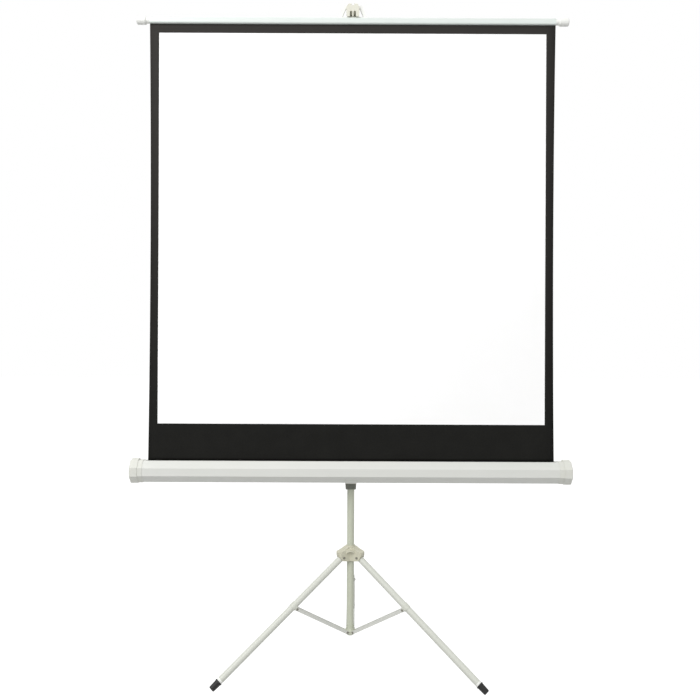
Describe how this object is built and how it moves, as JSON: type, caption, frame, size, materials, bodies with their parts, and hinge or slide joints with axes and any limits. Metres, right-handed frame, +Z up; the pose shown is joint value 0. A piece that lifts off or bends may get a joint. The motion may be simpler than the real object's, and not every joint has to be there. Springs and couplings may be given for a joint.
{
  "type": "tripod projection screen",
  "caption": "Pull-up projection screen on a folding tripod, with a spring roller in a long case and a hooked telescopic mast.",
  "frame": {"origin": "on the floor on the axis of the post", "axes": "+Z up the post, the picture side faces -Y, +X to the right of someone who looks at the picture"},
  "size_m": [1.7234, 0.8935, 2.6015],
  "materials": {
    "post_paint": "greenish grey enamel, satin",
    "leg_paint": "light grey enamel, satin",
    "strut_steel": "grey enamel, satin",
    "case_paint": "white-grey enamel, satin",
    "slat_paint": "white enamel",
    "ivory_plastic": "moulded, fine grain",
    "white_plastic": "moulded, smooth",
    "dark_plastic": "moulded, fine grain",
    "black_rubber": "moulded rubber",
    "bright_steel": "plated",
    "screen_cloth": "matt white picture area with a black border",
    "hub_plastic": "moulded, fine grain",
    "cap_plastic": "moulded, smooth"
  },
  "bodies": {
    "post": {"post_tube": "post_paint", "foot_cup": "post_paint", "hub_stop_pin": "bright_steel", "post_top_collar": "ivory_plastic"},
    "mast_lock": {"mast_lock_knob": "dark_plastic"},
    "hub": {"leg_hub": "hub_plastic", "hub_pins": "bright_steel"},
    "rear_leg": {"rear_leg_tube": "leg_paint", "rear_leg_knuckle": "hub_plastic", "rear_strut_clip": "hub_plastic", "rear_ferrule": "white_plastic", "rear_foot": "black_rubber"},
    "front_left_leg": {"front_left_leg_tube": "leg_paint", "front_left_leg_knuckle": "hub_plastic", "front_left_strut_clip": "hub_plastic", "front_left_ferrule": "white_plastic", "front_left_foot": "black_rubber"},
    "front_right_leg": {"front_right_leg_tube": "leg_paint", "front_right_leg_knuckle": "hub_plastic", "front_right_strut_clip": "hub_plastic", "front_right_ferrule": "white_plastic", "front_right_foot": "black_rubber"},
    "rear_strut": {"rear_strut_bars": "strut_steel", "rear_strut_rivets": "bright_steel"},
    "front_left_strut": {"front_left_strut_bars": "strut_steel", "front_left_strut_rivets": "bright_steel"},
    "front_right_strut": {"front_right_strut_bars": "strut_steel", "front_right_strut_rivets": "bright_steel"},
    "carriage": {"carriage_block": "ivory_plastic", "collar_spring": "bright_steel"},
    "release": {"release_collar": "dark_plastic"},
    "mast": {"mast_tube": "post_paint", "mast_guide": "white_plastic", "hook_head": "ivory_plastic", "hook_rivet": "bright_steel"},
    "case": {"case_shell": "case_paint", "case_cap_left": "cap_plastic", "case_cap_right": "cap_plastic", "mount_bracket": "case_paint", "pivot_pin": "bright_steel", "bracket_screws": "bright_steel", "spring_shaft": "bright_steel", "roller_spring": "bright_steel", "screen_fabric": "screen_cloth"},
    "roller": {"roller_tube": "bright_steel", "roller_plug_left": "white_plastic", "roller_plug_right": "white_plastic", "fabric_roll": "screen_cloth"},
    "top_bar": {"top_slat": "slat_paint", "top_cap_left": "white_plastic", "top_cap_right": "white_plastic", "hem_rod": "bright_steel", "pull_handle": "white_plastic", "handle_screws": "bright_steel"}
  },
  "joints": [
    {"name": "screen_height", "type": "slide", "parent": "post", "child": "carriage", "axis": [0, 0, 1], "range_m": [0, 0.6]},
    {"name": "mast_slide", "type": "slide", "parent": "carriage", "child": "mast", "axis": [0, 0, -1], "range_m": [0, 0.905]},
    {"name": "case_pivot", "type": "hinge", "parent": "carriage", "child": "case", "pos_m": [0, -0.04, 0.77], "axis": [0, 1, 0], "range_deg": [0, 90.1]},
    {"name": "screen_pull", "type": "slide", "parent": "case", "child": "top_bar", "axis": [0, 0, -1], "range_m": [0, 1.7024], "deforming": ["screen_fabric"]},
    {"name": "roller_spin", "type": "hinge", "parent": "case", "child": "roller", "pos_m": [0, -0.078, 0.77], "axis": [1, 0, 0], "range_deg": [0, 6177]},
    {"name": "hub_slide", "type": "slide", "parent": "post", "child": "hub", "axis": [0, 0, 1], "range_m": [0, 0.2213]},
    {"name": "rear_leg_fold", "type": "hinge", "parent": "hub", "child": "rear_leg", "pos_m": [0.00067, 0.03849, 0.41703], "axis": [-0.9998, 0.0175, 0], "range_deg": [0, 52.86]},
    {"name": "front_left_leg_fold", "type": "hinge", "parent": "hub", "child": "front_left_leg", "pos_m": [-0.03367, -0.01867, 0.41703], "axis": [0.4848, -0.8746, 0], "range_deg": [0, 52.86]},
    {"name": "front_right_leg_fold", "type": "hinge", "parent": "hub", "child": "front_right_leg", "pos_m": [0.033, -0.01983, 0.41703], "axis": [0.515, 0.8572, 0], "range_deg": [0, 52.86]},
    {"name": "rear_strut_fold", "type": "hinge", "parent": "post", "child": "rear_strut", "pos_m": [0.00037, 0.021, 0.1162], "axis": [0.9998, -0.0175, 0], "range_deg": [0, 58.54]},
    {"name": "front_left_strut_fold", "type": "hinge", "parent": "post", "child": "front_left_strut", "pos_m": [-0.01837, -0.01018, 0.1162], "axis": [-0.4848, 0.8746, 0], "range_deg": [0, 58.54]},
    {"name": "front_right_strut_fold", "type": "hinge", "parent": "post", "child": "front_right_strut", "pos_m": [0.018, -0.01082, 0.1162], "axis": [-0.515, -0.8572, 0], "range_deg": [0, 58.54]},
    {"name": "mast_lock_turn", "type": "hinge", "parent": "post", "child": "mast_lock", "pos_m": [0, 0.03, 1.592], "axis": [0, 1, 0], "range_deg": [0, 270]},
    {"name": "release_press", "type": "slide", "parent": "carriage", "child": "release", "axis": [0, 0, -1], "range_m": [0, 0.006], "stiffness_N_per_m": 1500, "springref_m": -0.006}
  ],
  "couplings": [
    {"joint": "mast_slide", "follows": "screen_height", "ratio": 1.5083},
    {"joint": "case_pivot", "follows": "screen_height", "rad_per_m": 2.618},
    {"joint": "screen_pull", "follows": "screen_height", "ratio": 2.8367},
    {"joint": "roller_spin", "follows": "screen_height", "rad_per_m": 179.54},
    {"joint": "rear_leg_fold", "follows": "hub_slide", "rad_per_m": 4.161},
    {"joint": "front_left_leg_fold", "follows": "hub_slide", "rad_per_m": 4.161},
    {"joint": "front_right_leg_fold", "follows": "hub_slide", "rad_per_m": 4.161},
    {"joint": "rear_strut_fold", "follows": "hub_slide", "rad_per_m": 4.6093},
    {"joint": "front_left_strut_fold", "follows": "hub_slide", "rad_per_m": 4.6093},
    {"joint": "front_right_strut_fold", "follows": "hub_slide", "rad_per_m": 4.6093}
  ]
}
